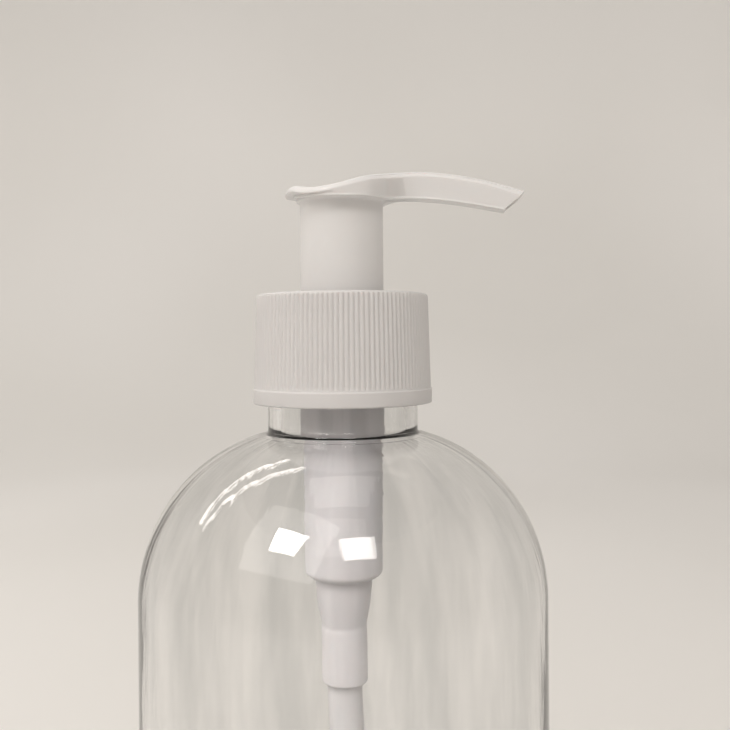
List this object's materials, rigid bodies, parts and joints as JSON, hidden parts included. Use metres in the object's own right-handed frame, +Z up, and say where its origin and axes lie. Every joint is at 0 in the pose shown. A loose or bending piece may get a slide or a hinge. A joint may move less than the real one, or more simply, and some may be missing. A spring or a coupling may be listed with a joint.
{
  "type": "soap pump dispenser",
  "caption": "Refillable soap dispenser: clear round-shouldered plastic bottle with a white screw-on lotion pump, ribbed closure, round post, arched spout and dip tube.",
  "frame": {"origin": "centre of the bottle's base, on the plane of its standing ring", "axes": "+Z up along the bottle's axis, +X the way the spout points at rest, +Y to the left of the spout seen from behind"},
  "size_m": [0.075, 0.075, 0.1869],
  "materials": {
    "clear_pet": "clear, glossy, thin blown wall",
    "white_pp": "white moulded plastic, soft satin gloss",
    "milky_pp": "milky natural plastic, satin",
    "milky_pe": "translucent soft plastic",
    "seal_foam": "soft foamed seal",
    "spring_steel": "bright drawn wire",
    "ball_steel": "polished"
  },
  "bodies": {
    "bottle": {"bottle": "clear_pet"},
    "pump": {"housing": "milky_pp", "gasket": "seal_foam", "chaplet": "white_pp", "return_spring": "spring_steel", "dip_tube": "milky_pe"},
    "closure": {"closure": "white_pp"},
    "rod": {"piston_rod": "milky_pp"},
    "head": {"actuator": "white_pp", "stem": "milky_pp"},
    "piston": {"piston": "milky_pe"},
    "ball": {"inlet_ball": "ball_steel"}
  },
  "joints": [
    {"name": "pump_rise", "type": "slide", "parent": "bottle", "child": "pump", "axis": [0, 0, 1], "range_m": [0, 0.00635]},
    {"name": "closure_turn", "type": "hinge", "parent": "pump", "child": "closure", "pos_m": [0, 0, 0.1548], "axis": [0, 0, 1], "range_deg": [0, 540]},
    {"name": "pump_stroke", "type": "slide", "parent": "pump", "child": "rod", "axis": [0, 0, 1], "range_m": [-0.014, 0], "stiffness_N_per_m": 600, "springref_m": 0.012, "deforming": ["return_spring"]},
    {"name": "head_turn", "type": "hinge", "parent": "rod", "child": "head", "pos_m": [0, 0, 0.172], "axis": [0, 0, 1], "range_deg": [0, 90]},
    {"name": "piston_slip", "type": "slide", "parent": "rod", "child": "piston", "axis": [0, 0, 1], "range_m": [0, 0.0015]},
    {"name": "inlet_ball_lift", "type": "slide", "parent": "pump", "child": "ball", "axis": [0, 0, 1], "range_m": [0, 0.0015]}
  ],
  "couplings": [
    {"joint": "closure_turn", "follows": "pump_rise", "rad_per_m": 1484.3}
  ]
}
